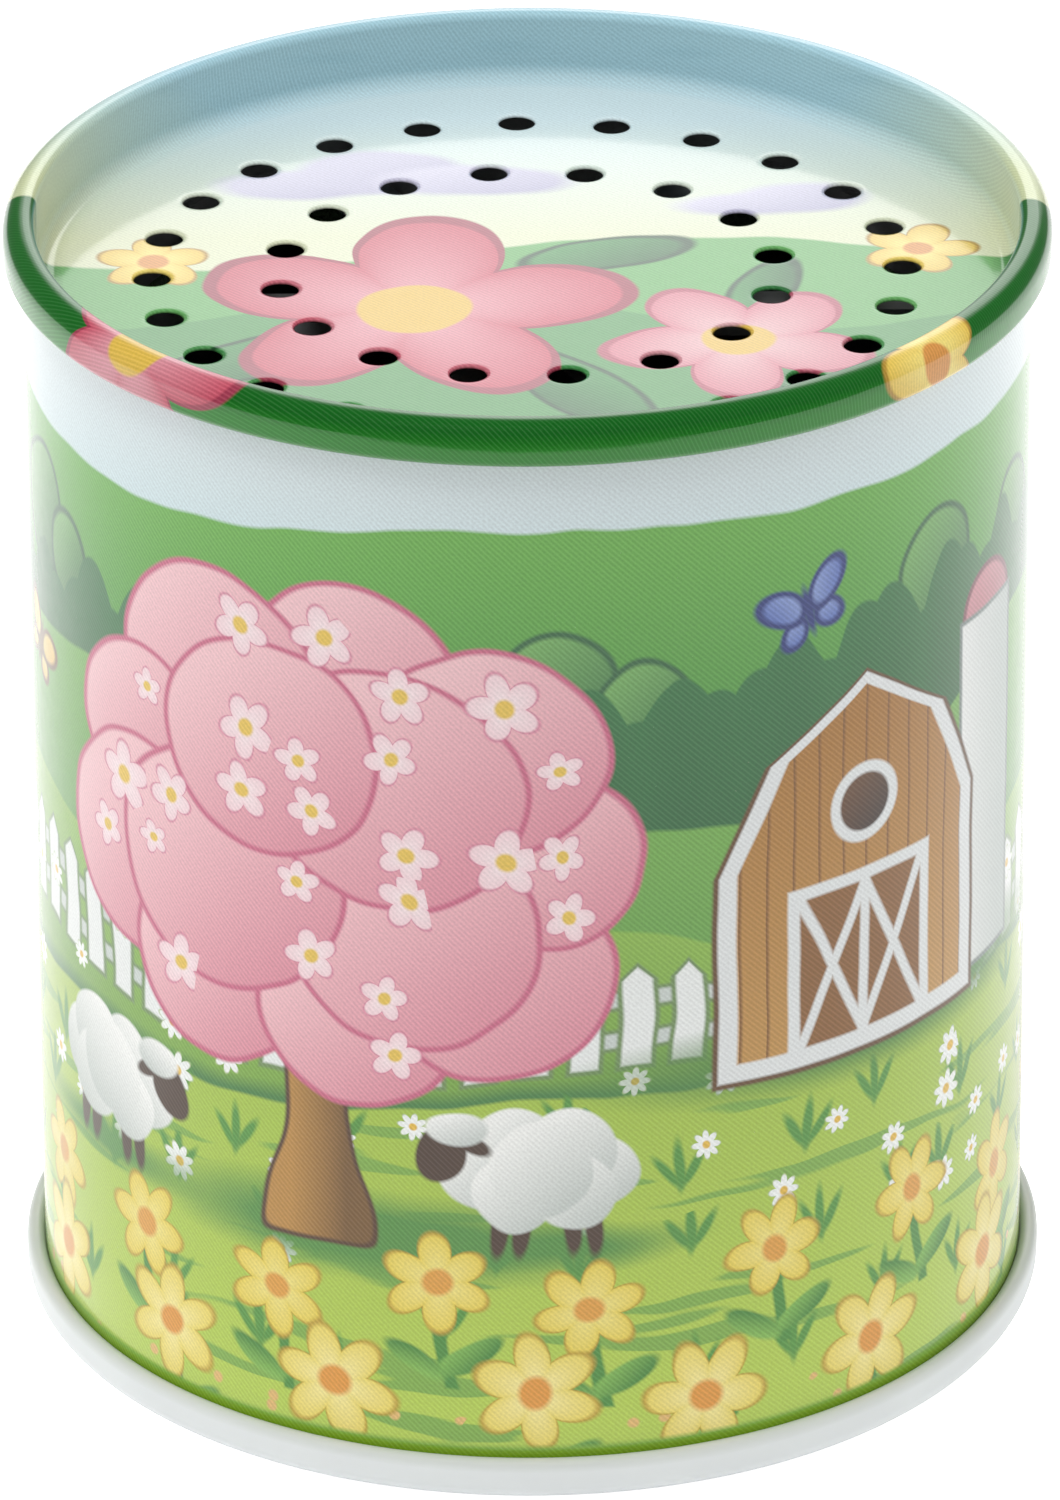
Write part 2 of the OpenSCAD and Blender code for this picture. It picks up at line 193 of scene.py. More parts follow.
# Paper: bright, with no gloss of its own
paper, put, place = newMaterial("matt white paper")
rays = put("LightPath").node.outputs
glow = put("MapRange", put("VectorMath LENGTH", place), *studio["glowReach"], 0, studio["glow"])
for ray, lift in zip(("Is Camera Ray", "Is Glossy Ray"), studio["lift"]):
    glow = put("Math MULTIPLY_ADD", rays[ray], lift, glow)
surface = put("BsdfPrincipled", {
    "Base Color": studio["paper"], "Roughness": studio["rough"], "Specular IOR Level": 0,
    "Emission Color": "#ffffff", "Emission Strength": glow})
put("OutputMaterial", surface)
bm = bmesh.new()
wide, front, back = (edge * mm for edge in studio["floor"])
corners = bmesh.ops.create_grid(bm, x_segments=1, y_segments=1, size=1)["verts"]
bmesh.ops.scale(bm, vec=(wide, (back - front) / 2, 1), verts=corners)
bmesh.ops.translate(bm, vec=(0, (back + front) / 2, 0), verts=corners)
floor = addMesh(bm, "floor", paper)

for name, (place, wide, watts) in studio["lamps"].items():
    lampData = bpy.data.lights.new(name, "AREA")
    lampData.shape = "DISK"
    lampData.size = wide * mm
    lampData.energy = watts
    lamp = addObject(name, lampData)
    lamp.visible_glossy = name == studio["mirrored"]
    lamp.matrix_world = aimed(place)
print("studio set")

# Sheet and seams of the can, in mm
tin = {
    "sheet": 0.22,
    "seamGap": 0.21,   # between the hooks
    "wallGap": 0.1,   # between the body wall and a cover's wall
    "seamHigh": 2.6,
    "crestIn": 0.38,   # radii at the middle of the sheet, as the next two
    "crestOut": 1.05,
    "panelFillet": 1.2,
    "turns": 240,   # steps round the can
    "bends": 8,   # steps in a quarter bend
}
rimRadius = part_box("top_cover")[1].x / mm
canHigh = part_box("top_cover")[1].z / mm
half = tin["sheet"] / 2
pitch = tin["sheet"] + tin["seamGap"]
bodyRadius = rimRadius - 3 * pitch
wallRadius = bodyRadius - 2 * tin["sheet"] - tin["wallGap"]   # the seen face of a cover's wall
hair = 0.001 * mm   # points nearer than this are one

# Printing: inks are laid one over another, each with a slightly soft edge
picture = {
    "wide": math.pi * bodyRadius,   # half the way round the can
    "ends": (-45, 40),   # beyond these the picture comes once more,
    "seamAt": 8.4,   # moved so that the lock seam falls here in it, between two motifs
    "margin": 1.7,   # left bare beside the lock seam, in mm
    "bareInk": "#c8cfcf",
    "wobble": 0.55,   # hand-drawn waver of every outline, in mm
    "wobbleRate": 0.16,   # its turns in a mm
    "ruled": 0.3,   # share of it in what is drawn with a ruler
    "light": (0.6, -0.8, 0),   # each motif is shaded from its upper left,
    "shade": (-0.8, 0.9),   # from here to here as parts of its size
    "rimLine": (0.35, 0.12),   # width and soft edge of a drawn outline, in mm
    "screen": 0.25,   # step of the printing screen, in mm; really 0.18, but coarse enough to show
    "slant": 45,   # turn of the screen on the sheet
    "lined": (0.12, 0.05),  # how far its lines change a dark ink and a pale one
    "tones": (0.1, 0.6),   # brightness of such inks
    "bare": (0.2, 1, 0, 0.02),   # white ground that shows along the crest of a line
    "grain": 0.15,   # uneven ink, in mm
    "uneven": (0.3, 0.7, 0.94, 1.05),   # from this spread of noise to this share of ink
}


def layInk(below, ink, reach, outline=0, edge=0.1, line=None):
    # lays ink over what is below wherever reach is less than outline, after a wider line of its own ink
    if line:
        below = layInk(below, line[0], reach, line[1])
    share = put("MapRange", reach, outline + edge, outline - edge)
    return put("Mix RGBA", share, below, ink)


def inkOval(below, spot, at, radii, inks, turn=0, rim=None, edge=0.1):
    # an oval, airbrushed from its first ink to its second
    away = put("VectorMath SUBTRACT", spot, (*at, 0))
    lean = Matrix.Rotation(math.radians(turn), 2)
    across = put("VectorMath DOT_PRODUCT", away, (lean.col[0] / radii[0]).to_3d())
    upright = put("VectorMath DOT_PRODUCT", away, (lean.col[1] / radii[1]).to_3d())
    local = put("CombineXYZ", across, upright)
    reach = put("VectorMath LENGTH", local)
    small = min(radii)
    ink = inks[0]
    if len(inks) > 1:
        slope = put("VectorMath DOT_PRODUCT", local, picture["light"])
        ink = put("Mix RGBA", put("MapRange", slope, *picture["shade"]), *inks)
    if rim:
        line, soft = picture["rimLine"]
        ink = layInk(rim, ink, reach, 1 - line / small, soft / small)
    return layInk(below, ink, reach, 1, edge / small)


def inkOvals(below, spot, ovals, inks, **same):
    # many ovals, each with its place, its radii and maybe its turn
    for oval in ovals:
        below = inkOval(below, spot, oval[0], oval[1], inks, *oval[2:], **same)
    return below


def inkHill(below, along, high, level, waves, inks, deep, edge=0.12, leafy=False):
    # a slope under a crest: a level with waves that close on themselves round the can
    crest = level
    for height, count, phase in waves:
        wave = put("Math MULTIPLY_ADD", along, count * 2 * math.pi / picture["wide"], phase)
        wave = put("Math SINE", wave)
        if leafy:
            wave = put("Math ABSOLUTE", wave)
        crest = put("Math MULTIPLY_ADD", wave, height, crest)
    rise = put("Math SUBTRACT", high, crest)
    ink = put("Mix RGBA", put("MapRange", rise, 0, -deep), *inks)
    return layInk(below, ink, rise, 0, edge)


bloom = {   # parts of a flower's radius
    "notch": 0.55,   # between two petals
    "shade": (0.25, 1),
    "outline": 1.06, "petal": 0.98, "heart": 0.27,
}


def inkFlower(below, local, petals, inks, edge=0.05):
    # petals round a heart; local is the place measured in flower radii
    part = put("SeparateXYZ", local).node.outputs
    angle = put("Math ARCTAN2", part["Y"], part["X"])
    angle = put("Math MULTIPLY", angle, petals / 2)
    lobe = put("Math ABSOLUTE", put("Math COSINE", angle))
    outline = put("Math MULTIPLY_ADD", lobe, 1 - bloom["notch"], bloom["notch"])
    reach = put("VectorMath LENGTH", local)
    share = put("Math DIVIDE", reach, outline)
    inner, outer, heart, line = inks
    ink = put("Mix RGBA", put("MapRange", share, *bloom["shade"]), inner, outer)
    below = layInk(below, line, share, bloom["outline"], edge)
    below = layInk(below, ink, share, bloom["petal"], edge)
    return layInk(below, heart, reach, bloom["heart"], edge)


def scatterOver(spot, bed):
    # gives the place from the nearest of many points, its chances, and 1 if that point is in the bed
    points = put("TexVoronoi", spot, 1 / bed["cell"], {"Randomness": 0.75},
                 voronoi_dimensions="2D").node.outputs
    home = put("Mapping", points["Position"], (*bed["middle"], 0), {"Scale": (*bed["reach"], 1)},
               vector_type="TEXTURE")
    inside = put("Math LESS_THAN", put("VectorMath LENGTH", home), 1)
    local = put("VectorMath SUBTRACT", spot, points["Position"])
    chance = put("SeparateColor", points["Color"]).node.outputs
    return local, chance, inside


def inkBlossoms(below, spot, bed):
    # small flowers, each turned and sized by chance; a few places of the bed stay empty
    local, chance, inside = scatterOver(spot, bed)
    grow = put("MapRange", chance["Red"], bed["empty"], 1, *bed["sizes"])
    kept = put("Math GREATER_THAN", chance["Red"], bed["empty"])
    grow = put("Math MULTIPLY", put("Math MULTIPLY", grow, inside), kept)
    grow = put("Math DIVIDE", 1, put("Math MAXIMUM", grow, 0.01))   # too small to see in an empty place
    local = put("VectorMath SCALE", local, grow)
    turn = put("Math MULTIPLY", chance["Green"], 2 * math.pi)
    local = put("VectorRotate", {"Vector": local, "Angle": turn}, rotation_type="Z_AXIS")
    return inkFlower(below, local, bed["petals"], bed["inks"])


sky = {"span": (59, 65), "inks": ("#cbdde0", "#d7e1e3")}
hills = [   # level, waves (height, count round half the can, phase), inks, how deep they shade, and the rest
    (60.2, ((0.9, 1, 0.4), (0.6, 2, 2.1)), ("#67aa44", "#489039"), 14),
    (47.5, ((3.5, 1, 2.6), (2.6, 7, 0.5), (1.2, 12, 1.0)), ("#2c703a", "#1a5c2d"), 14, 0.12, True),
    (44, ((3.2, 1, 4.4), (1.2, 3, 0.3)), ("#6ea647", "#5d973f"), 12),
    (34.5, ((1.8, 2, 1.2), (0.7, 3, 2.2)), ("#86b143", "#73a03c"), 9),
    (25.6, ((1.1, 1, 0.2), (0.5, 3, 1.7)), ("#417b3b", "#417b3b"), 4, 0.5),
    (24.8, ((1.1, 1, 0.2), (0.5, 3, 1.7)), ("#9fbc41", "#aec74c"), 20),
]

tree = {
    "at": (-12.5, 40.5),   # middle of the crown
    "foot": 15.5,
    "shadow": {"at": (-9.5, 16.1), "radii": (12, 2.3), "inks": ("#508b3c",), "edge": 0.9},
    "trunk": (0, 9, 3.4, 1.7),   # from the foot to this height it narrows from this half width to this
    "heel": 1.2,   # rounding of its foot
    "barkTurn": (-1.8, 1.8), "bark": ("#b3843c", "#715021"), "barkLine": ("#50331a", 0.3),
    "ring": (9, 80, 6.6, 0.8, 2.4),   # outer puffs: count, first angle, radius, its change and pace
    "spread": (13.2, 10.6),
    "inner": ((5.6, -5, 7.6), (-6.2, -3, 8), (4.4, 4, 8), (-3.2, 5.4, 7.2)),   # place and radius
    "squash": 0.94, "inks": ("#eabdc2", "#d68d9c"), "rim": "#c46481",
    "blossoms": {"cell": 5, "middle": (-12.5, 40.5), "reach": (16.5, 14), "empty": 0.2, "sizes": (1.1, 2.1),
                 "petals": 5, "inks": ("#f0dddf", "#edced3", "#dfbc50", "#cc7992")},
}


def paintTree(below, spot):
    x, z = tree["at"]
    below = inkOval(below, spot, **tree["shadow"])
    local = put("Mapping", spot, (x, tree["foot"], 0), vector_type="TEXTURE")
    part = put("SeparateXYZ", local).node.outputs
    flare = put("MapRange", part["Y"], *tree["trunk"], interpolation_type="SMOOTHERSTEP")
    reach = put("Math SUBTRACT", put("Math ABSOLUTE", part["X"]), flare)
    foot = put("Math MULTIPLY", part["Y"], -1)
    reach = put("Math SMOOTH_MAX", reach, foot, tree["heel"])
    crown = put("Math SUBTRACT", part["Y"], z - tree["foot"])
    reach = put("Math MAXIMUM", reach, crown)
    bark = put("Mix RGBA", put("MapRange", part["X"], *tree["barkTurn"]), *tree["bark"])
    below = layInk(below, bark, reach, line=tree["barkLine"])
    count, first, radius, change, pace = tree["ring"]
    puffs = []
    for i in range(count):
        angle = math.radians(first + 360 / count * i)
        grow = radius + change * math.sin(pace * i)
        puffs.append((tree["spread"][0] * math.cos(angle), tree["spread"][1] * math.sin(angle), grow))
    puffs = [((x + right, z + up), (grow, grow * tree["squash"]))
             for right, up, grow in (*puffs, *tree["inner"])]
    below = inkOvals(below, spot, puffs, tree["inks"], rim=tree["rim"])
    return inkBlossoms(below, spot, tree["blossoms"])


barn = {
    "at": (20.5, 26.5),   # middle of its foot
    "shadow": {"at": (22.5, 26.5), "radii": (16, 2.4), "inks": ("#4b8236",), "edge": 0.9},
    "half": 8.6,   # half its width, which the two slopes of the roof narrow:
    "roof": ((-0.5, 14.6), (-1.6, 34.8)),   # its change with the height, and its size at the foot
    "inks": ("#b98b45", "#a26f26"), "inkHigh": 20, "board": 1.7, "boardLine": ("#815620", 0.1, 0.05),
    "line": ("#60401d", 1.5), "trim": "#dadddd", "trimWide": 1.15,
    "door": (4.6, 9.4),   # half its width, and its height
    "doorInk": "#84561f", "doorTrim": 0.8, "brace": (0.16, 0.05),
    "middle": 0.35,   # half the upright between the two leaves
    "window": 14.4,
    "panes": ((2.5, ("#dadddd",)), (1.8, ("#5e3b1a", "#351f12"))),
}
silo = {
    "aside": 11.8,   # from the middle of the barn
    "half": 3.2, "tall": 22, "turn": (-3, 3.4),
    "inks": ("#e1e3e1", "#a2aea9"), "line": ("#75817d", 0.3),
    "dome": {"at": (32.3, 48.5), "radii": (3.2, 3), "inks": ("#c4818a", "#a1525f"), "rim": "#7a3c49"},
}


def paintBarn(below, spot):
    trim = barn["trim"]
    x, z = barn["at"]
    below = inkOval(below, spot, **barn["shadow"])
    local = put("Mapping", spot, (x, z, 0), vector_type="TEXTURE")
    part = put("SeparateXYZ", local).node.outputs
    side = put("Math ABSOLUTE", part["X"])
    foot = put("Math MULTIPLY", part["Y"], -1)
    # silo beside it
    aside = put("Math SUBTRACT", part["X"], silo["aside"])
    ink = put("Mix RGBA", put("MapRange", aside, *silo["turn"]), *silo["inks"])
    wide = put("Math SUBTRACT", put("Math ABSOLUTE", aside), silo["half"])
    top = put("Math SUBTRACT", part["Y"], silo["tall"])
    reach = put("Math MAXIMUM", put("Math MAXIMUM", wide, top), foot)
    below = inkOval(below, spot, **silo["dome"])
    below = layInk(below, ink, reach, line=silo["line"])
    # gambrel front
    steep, flat = (put("Math MULTIPLY_ADD", part["Y"], *slope) for slope in barn["roof"])
    wide = put("Math MINIMUM", put("Math MINIMUM", steep, flat), barn["half"])
    reach = put("Math MAXIMUM", put("Math SUBTRACT", side, wide), foot)
    below = layInk(below, trim, reach, barn["trimWide"], line=barn["line"])
    board = put("Math FRACT", put("Math MULTIPLY", part["X"], 1 / barn["board"]))
    wood = put("Mix RGBA", put("MapRange", part["Y"], 0, barn["inkHigh"]), *barn["inks"])
    line, *outline = barn["boardLine"]
    wood = layInk(wood, line, board, *outline)
    below = layInk(below, wood, reach)
    # double door with crossed braces
    doorHalf, doorTall = barn["door"]
    over = put("Math SUBTRACT", part["Y"], doorTall)
    door = put("Math MAXIMUM", put("Math SUBTRACT", side, doorHalf), over)
    door = put("Math MAXIMUM", door, foot)
    below = layInk(below, trim, door, barn["doorTrim"])
    across = put("Math ABSOLUTE", put("Math MULTIPLY_ADD", side, 2 / doorHalf, -1))
    upright = put("Math ABSOLUTE", put("Math MULTIPLY_ADD", part["Y"], 2 / doorTall, -1))
    brace = put("Math ABSOLUTE", put("Math SUBTRACT", across, upright))
    leaf = layInk(barn["doorInk"], trim, brace, *barn["brace"])
    leaf = layInk(leaf, trim, side, barn["middle"])
    below = layInk(below, leaf, door)
    for radius, inks in barn["panes"]:
        below = inkOval(below, spot, (x, z + barn["window"]), (radius, radius), inks)
    return below


fence = {
    "low": 26.6, "tall": 6.2, "step": picture["wide"] / 30,
    "board": 0.85,   # half the width of a picket
    "rails": (1.7, 4.2),
    "rail": 0.45,   # half the width of a rail
    "sway": 0.9,   # rise and fall of the ground under it,
    "waves": (2, 0.6),   # and how often round half the can, with its phase
    "inks": ("#e3e6e4", "#c3cbc6"),   # pickets, rails
    "lines": (("#6d8a55", 0.3), ("#6d8a55", 0.25)),
}


def paintFence(below, along, high):
    # pointed pickets on two rails
    aside = put("Math PINGPONG", along, fence["step"] / 2)
    count, phase = fence["waves"]
    ground = put("Math SINE", put("Math MULTIPLY_ADD", along, count * 2 * math.pi / picture["wide"], phase))
    ground = put("Math MULTIPLY_ADD", ground, fence["sway"], fence["low"])
    up = put("Math SUBTRACT", high, ground)
    tip = put("Math SUBTRACT", put("Math ADD", aside, up), fence["tall"])
    picket = put("Math MAXIMUM", put("Math SUBTRACT", aside, fence["board"]), tip)
    picket = put("Math MAXIMUM", picket, put("Math MULTIPLY", up, -1))
    for level in fence["rails"]:
        rail = put("Math ABSOLUTE", put("Math SUBTRACT", up, level))
        rail = put("Math SUBTRACT", rail, fence["rail"])
        below = layInk(below, fence["inks"][1], rail, line=fence["lines"][1])
    return layInk(below, fence["inks"][0], picket, line=fence["lines"][0])


farTrees = {
    "ovals": [((x, z), (grow, grow * 1.12)) for x, z, grow in (
        (-36.8, 53.4, 3.6), (-32.6, 52, 2.6), (1.6, 51.2, 3.4), (6.4, 49.6, 3), (26.4, 53.4, 3.4),
        (36.4, 52.6, 3.2))],
    "inks": ("#6fa65a", "#2f6d3c"),
    "rim": "#2a6237",
}
tufts = {
    "cell": 6.4, "middle": (0, 13.5), "reach": (400, 10), "inks": ("#4f8f36",),
    "blades": (((0, 1.1), (0.32, 1.6), 0), ((0.75, 0.85), (0.3, 1.3), -32), ((-0.75, 0.85), (0.3, 1.3), 32)),
    "away": 100,   # a tuft outside the bed is put this far off, in mm
}


def paintTufts(below, spot):
    local, chance, inside = scatterOver(spot, tufts)
    away = put("Math MULTIPLY_ADD", inside, -tufts["away"], tufts["away"])
    local = put("VectorMath ADD", local, put("CombineXYZ", away))
    return inkOvals(below, local, tufts["blades"], tufts["inks"])


daisies = {
    "cell": 4.2, "middle": (0, 22.5), "reach": (400, 9), "empty": 0.45, "sizes": (0.8, 1.25), "petals": 8,
    "inks": ("#eef0ee", "#e6eae6", "#dcb444", "#a9bd83"),
}

sheep = {
    "between": -14,   # the two stand this side and that of the tree
    "apart": 14.5, "high": 20.5,
    "shadow": {"at": (0.8, -4.4), "radii": (6.2, 1.1), "inks": ("#508b3c",), "edge": 0.6},
    "wool": ("#ecedea", "#bfc6c2"),
    "dark": ("#452f20",),
    "legs": [((x, -3.1), (0.55, 1.9)) for x in (-2.6, -1.3, 1.7, 3)],
    "curls": [((x, z), (grow, grow)) for x, z, grow in (
        (-3.4, 0.3, 2.4), (3.4, 0.5, 2.3), (-1.6, 1.8, 2.6), (1.8, 1.9, 2.6), (-1.7, -1, 2.4),
        (1.9, -0.9, 2.5), (0, 0.5, 3))],
    "head": [((-3.9, 2.2), (0.55, 1.2), 60), ((-5.6, 1.4), (1.35, 1.9), -18)],   # ear, face
    "fringe": [((-4.7, 3.1), (1.7, 1.1))],
}


def paintSheep(below, spot):
    # two sheep, mirror images, drawn once on a folded place
    part = put("SeparateXYZ", spot).node.outputs
    aside = put("Math ABSOLUTE", put("Math SUBTRACT", part["X"], sheep["between"]))
    aside = put("Math SUBTRACT", aside, sheep["apart"])
    up = put("Math SUBTRACT", part["Y"], sheep["high"])
    spot = put("CombineXYZ", aside, up)
    below = inkOval(below, spot, **sheep["shadow"])
    for part, inks in (("legs", "dark"), ("curls", "wool"), ("head", "dark"), ("fringe", "wool")):
        below = inkOvals(below, spot, sheep[part], sheep[inks])
    return below


flowerRows = [
    {"step": picture["wide"] / 9, "shift": 0.1, "low": 11.4, "rise": 3.4, "sway": 0.9, "radius": 3.1,
     "seed": 3.5, "inks": ("#e5d77d", "#ddc74c", "#d6993c", "#b39224")},
    {"step": picture["wide"] / 8, "shift": 0.55, "low": 5.6, "rise": 1.7, "sway": 1.0, "radius": 3.7,
     "seed": 11.5, "inks": ("#eadd92", "#dfcc5c", "#d79236", "#b39224")},
]
flower = {
    "petals": 6,
    "turn": 6.28,   # the most that chance turns it, in radians
    "bend": 0.02,   # of the stem
    "low": -6.2,   # end of the stem
    "stem": ("#458733", 0.38),
    "leaves": (((1.9, -4.6), (2.1, 0.75), ("#75ab48", "#3b7e2d"), 32),
               ((-1.3, -5), (2, 0.7), ("#7db04c", "#3b7e2d"), 148)),   # place, radii, inks, turn
}


def paintFlowers(below, along, high, row):
    place = put("Math MULTIPLY_ADD", along, 1 / row["step"], row["shift"])
    index = put("Math ADD", put("Math FLOOR", place), row["seed"])
    chance = put("TexWhiteNoise", {"W": index}, noise_dimensions="1D").node.outputs["Color"]
    chance = put("SeparateColor", chance).node.outputs
    aside = put("Math MULTIPLY_ADD", put("Math FRACT", place), row["step"], -row["step"] / 2)
    sway = put("MapRange", chance["Red"], 0, 1, -row["sway"], row["sway"])
    aside = put("Math SUBTRACT", aside, sway)
    level = put("Math MULTIPLY_ADD", chance["Green"], row["rise"], row["low"])
    up = put("Math SUBTRACT", high, level)
    spot = put("CombineXYZ", aside, up)
    # stem, then a leaf on each side
    bend = put("Math MULTIPLY", put("Math MULTIPLY", up, up), flower["bend"])
    stem = put("Math ABSOLUTE", put("Math SUBTRACT", aside, bend))
    low = put("Math SUBTRACT", flower["low"], up)
    stem = put("Math MAXIMUM", put("Math MAXIMUM", stem, up), low)
    ink, half = flower["stem"]
    below = layInk(below, ink, stem, half)
    for leaf in flower["leaves"]:
        below = inkOval(below, spot, *leaf)
    turn = put("Math MULTIPLY", chance["Blue"], flower["turn"])
    local = put("VectorRotate", {"Vector": spot, "Angle": turn}, rotation_type="Z_AXIS")
    local = put("VectorMath SCALE", local, 1 / row["radius"])
    return inkFlower(below, local, flower["petals"], row["inks"])


meadow = {
    "stretch": (0.055, 0.62, 1),
    "fade": (21, 32, 0, 0.6),   # heights between which the streaks go, and how far
    "streak": ("#7aa643", 0.37, 0.02),   # ink, share of it and soft edge
    "seedCell": 1.9,
    "seedChance": (0.7, 0.71, 1, 0),
    "seedHigh": (8, 5),   # none above the first, all below the second
    "seed": ("#d7b06c", 0.18, 0.04),   # ink, radius in cells and soft edge
}


def paintMeadow(below, high, spot):
    # soft streaks of mown grass
    stretched = put("VectorMath MULTIPLY", spot, meadow["stretch"])
    streak = put("TexNoise", stretched, 1, 1, noise_dimensions="2D")
    streak = put("Math SUBTRACT", streak, put("MapRange", high, *meadow["fade"]))
    ink, share, edge = meadow["streak"]
    return layInk(below, ink, put("Math SUBTRACT", 1, streak), share, edge)


def paintSeeds(below, high, spot):
    # seeds scattered low down
    points = put("TexVoronoi", spot, 1 / meadow["seedCell"], voronoi_dimensions="2D").node.outputs
    chance = put("SeparateColor", points["Color"]).node.outputs
    rare = put("MapRange", chance["Red"], *meadow["seedChance"])
    rare = put("Math SUBTRACT", rare, put("MapRange", high, *meadow["seedHigh"]))
    ink, radius, edge = meadow["seed"]
    return layInk(below, ink, put("Math ADD", points["Distance"], rare), radius - 1, edge)


butterfly = {
    "wings": (((1.3, -0.9), (1.2, 0.9), -35), ((1.6, 0.9), (1.75, 1.15), 35)),   # place, radii, turn
    "body": (0.32, 1.5),
    "each": (((16.5, 54), 20, ("#8699ca", "#5068ae", "#223376")),
             ((-38, 44), -25, ("#e5cd75", "#daae50", "#715021"))),
}


def paintButterfly(below, spot, at, turn, inks):
    local = put("Mapping", spot, (*at, 0), (0, 0, math.radians(turn)), vector_type="TEXTURE")
    part = put("SeparateXYZ", local).node.outputs
    wing = put("CombineXYZ", put("Math ABSOLUTE", part["X"]), part["Y"])
    *light, dark = inks
    below = inkOvals(below, wing, butterfly["wings"], light, rim=dark)
    return inkOval(below, wing, (0, 0), butterfly["body"], (dark,))


# Printed tinplate: litho inks under a clear stoved varnish, flat colours with a fine screen and a soft gloss
varnish = {
    "rough": (0.29, 0.39),
    "sheen": 0.15,   # of the ink under it
    "coat": 1, "coatRough": 0.1,
    "peel": 0.9,   # waves left in the varnish, in mm
    "peelDeep": 0.004,
    "sway": 9,   # broad waves of the rolled sheet, in mm
    "swayDeep": 0.012,
}


def finishPrint(place, sheet, ink):
    # uneven ink with the slanting lines of the screen in it, then the varnish over it
    slant = math.radians(picture["slant"])
    step = Vector((math.cos(slant), math.sin(slant), 0)) * 2 * math.pi / picture["screen"]
    lines = put("Math SINE", put("VectorMath DOT_PRODUCT", sheet, step))
    grain = put("TexNoise", sheet, 1 / picture["grain"], 1, noise_dimensions="2D")
    screen = put("MapRange", grain, *picture["uneven"])
    lined = put("MapRange", put("RGBToBW", ink), *picture["tones"], *picture["lined"])
    screen = put("Math MULTIPLY_ADD", lines, lined, screen)
    bare = put("MapRange", lines, *picture["bare"])
    ink = put("VectorMath MULTIPLY_ADD", ink, screen, bare)
    peel = put("TexNoise", place, 1 / varnish["peel"], 1)
    sway = put("TexNoise", place, 1 / varnish["sway"], 0)
    broad = put("Bump", {"Height": sway, "Distance": varnish["swayDeep"] * mm})
    fine = put("Bump", {"Height": peel, "Distance": varnish["peelDeep"] * mm, "Normal": broad})
    gloss = put("MapRange", peel, 0, 1, *varnish["rough"])
    surface = put("BsdfPrincipled", {
        "Base Color": ink, "Roughness": gloss, "IOR": 1.5, "Specular IOR Level": varnish["sheen"],
        "Coat Weight": varnish["coat"], "Coat Roughness": varnish["coatRough"], "Normal": fine,
        "Coat Normal": fine})
    put("OutputMaterial", surface)


def waverOf(place):
    # the waver of a hand-drawn line
    waver = put("TexNoise", place, picture["wobbleRate"], 1).node.outputs["Color"]
    waver = put("VectorMath SUBTRACT", waver, (0.5, 0.5, 0.5))
    return put("VectorMath SCALE", waver, 2 * picture["wobble"])


printedTin, put, place = newMaterial("varnished litho tinplate")
part = put("SeparateXYZ", place).node.outputs
angle = put("Math ARCTAN2", part["X"], put("Math MULTIPLY", part["Y"], -1))
along = put("Math MULTIPLY", angle, picture["wide"] / math.pi)
waver = put("SeparateXYZ", waverOf(place)).node.outputs
drawnAlong = put("Math ADD", along, waver["X"])
high = put("Math ADD", part["Z"], waver["Y"])
field = put("CombineXYZ", drawnAlong, high)
left = put("Math LESS_THAN", along, picture["ends"][0])
left = put("Math MULTIPLY", left, picture["seamAt"] + picture["wide"])
right = put("Math GREATER_THAN", along, picture["ends"][1])
shift = put("Math MULTIPLY_ADD", right, picture["seamAt"] - picture["wide"], left)
shift = put("CombineXYZ", shift)
spot = put("VectorMath ADD", field, shift)
sheet = put("CombineXYZ", along, part["Z"])
ruledSpot = put("Mix VECTOR", picture["ruled"], put("VectorMath ADD", sheet, shift), spot)
ink = put("Mix RGBA", put("MapRange", part["Z"], *sky["span"]), *sky["inks"])
ink = inkHill(ink, drawnAlong, high, *hills[0])
ink = inkOvals(ink, spot, **farTrees)
for hill in hills[1:]:
    ink = inkHill(ink, drawnAlong, high, *hill)
ink = paintMeadow(ink, high, field)
ink = paintFence(ink, drawnAlong, high)
ink = paintTufts(ink, field)
ink = inkBlossoms(ink, field, daisies)
ink = paintBarn(ink, ruledSpot)
ink = paintTree(ink, spot)
ink = paintSheep(ink, spot)
ink = paintSeeds(ink, high, field)
for row in flowerRows:
    ink = paintFlowers(ink, drawnAlong, high, row)
for at, turn, inks in butterfly["each"]:
    ink = paintButterfly(ink, spot, at, turn, inks)
# painted shade: two darker green lines where the wall meets the seam of the foot
for tone, top, edge in (("#7caa30", 3.1, 0.16), ("#7ca500", 2.82, 0.12)):   # lines along the foot
    ink = layInk(ink, tone, part["Z"], top, edge)
behind = put("Math SUBTRACT", picture["wide"], put("Math ABSOLUTE", along))
ink = layInk(ink, picture["bareInk"], behind, picture["margin"], 0.06)
finishPrint(place, sheet, ink)
print("wall printed with", len(printedTin.node_tree.nodes), "nodes")

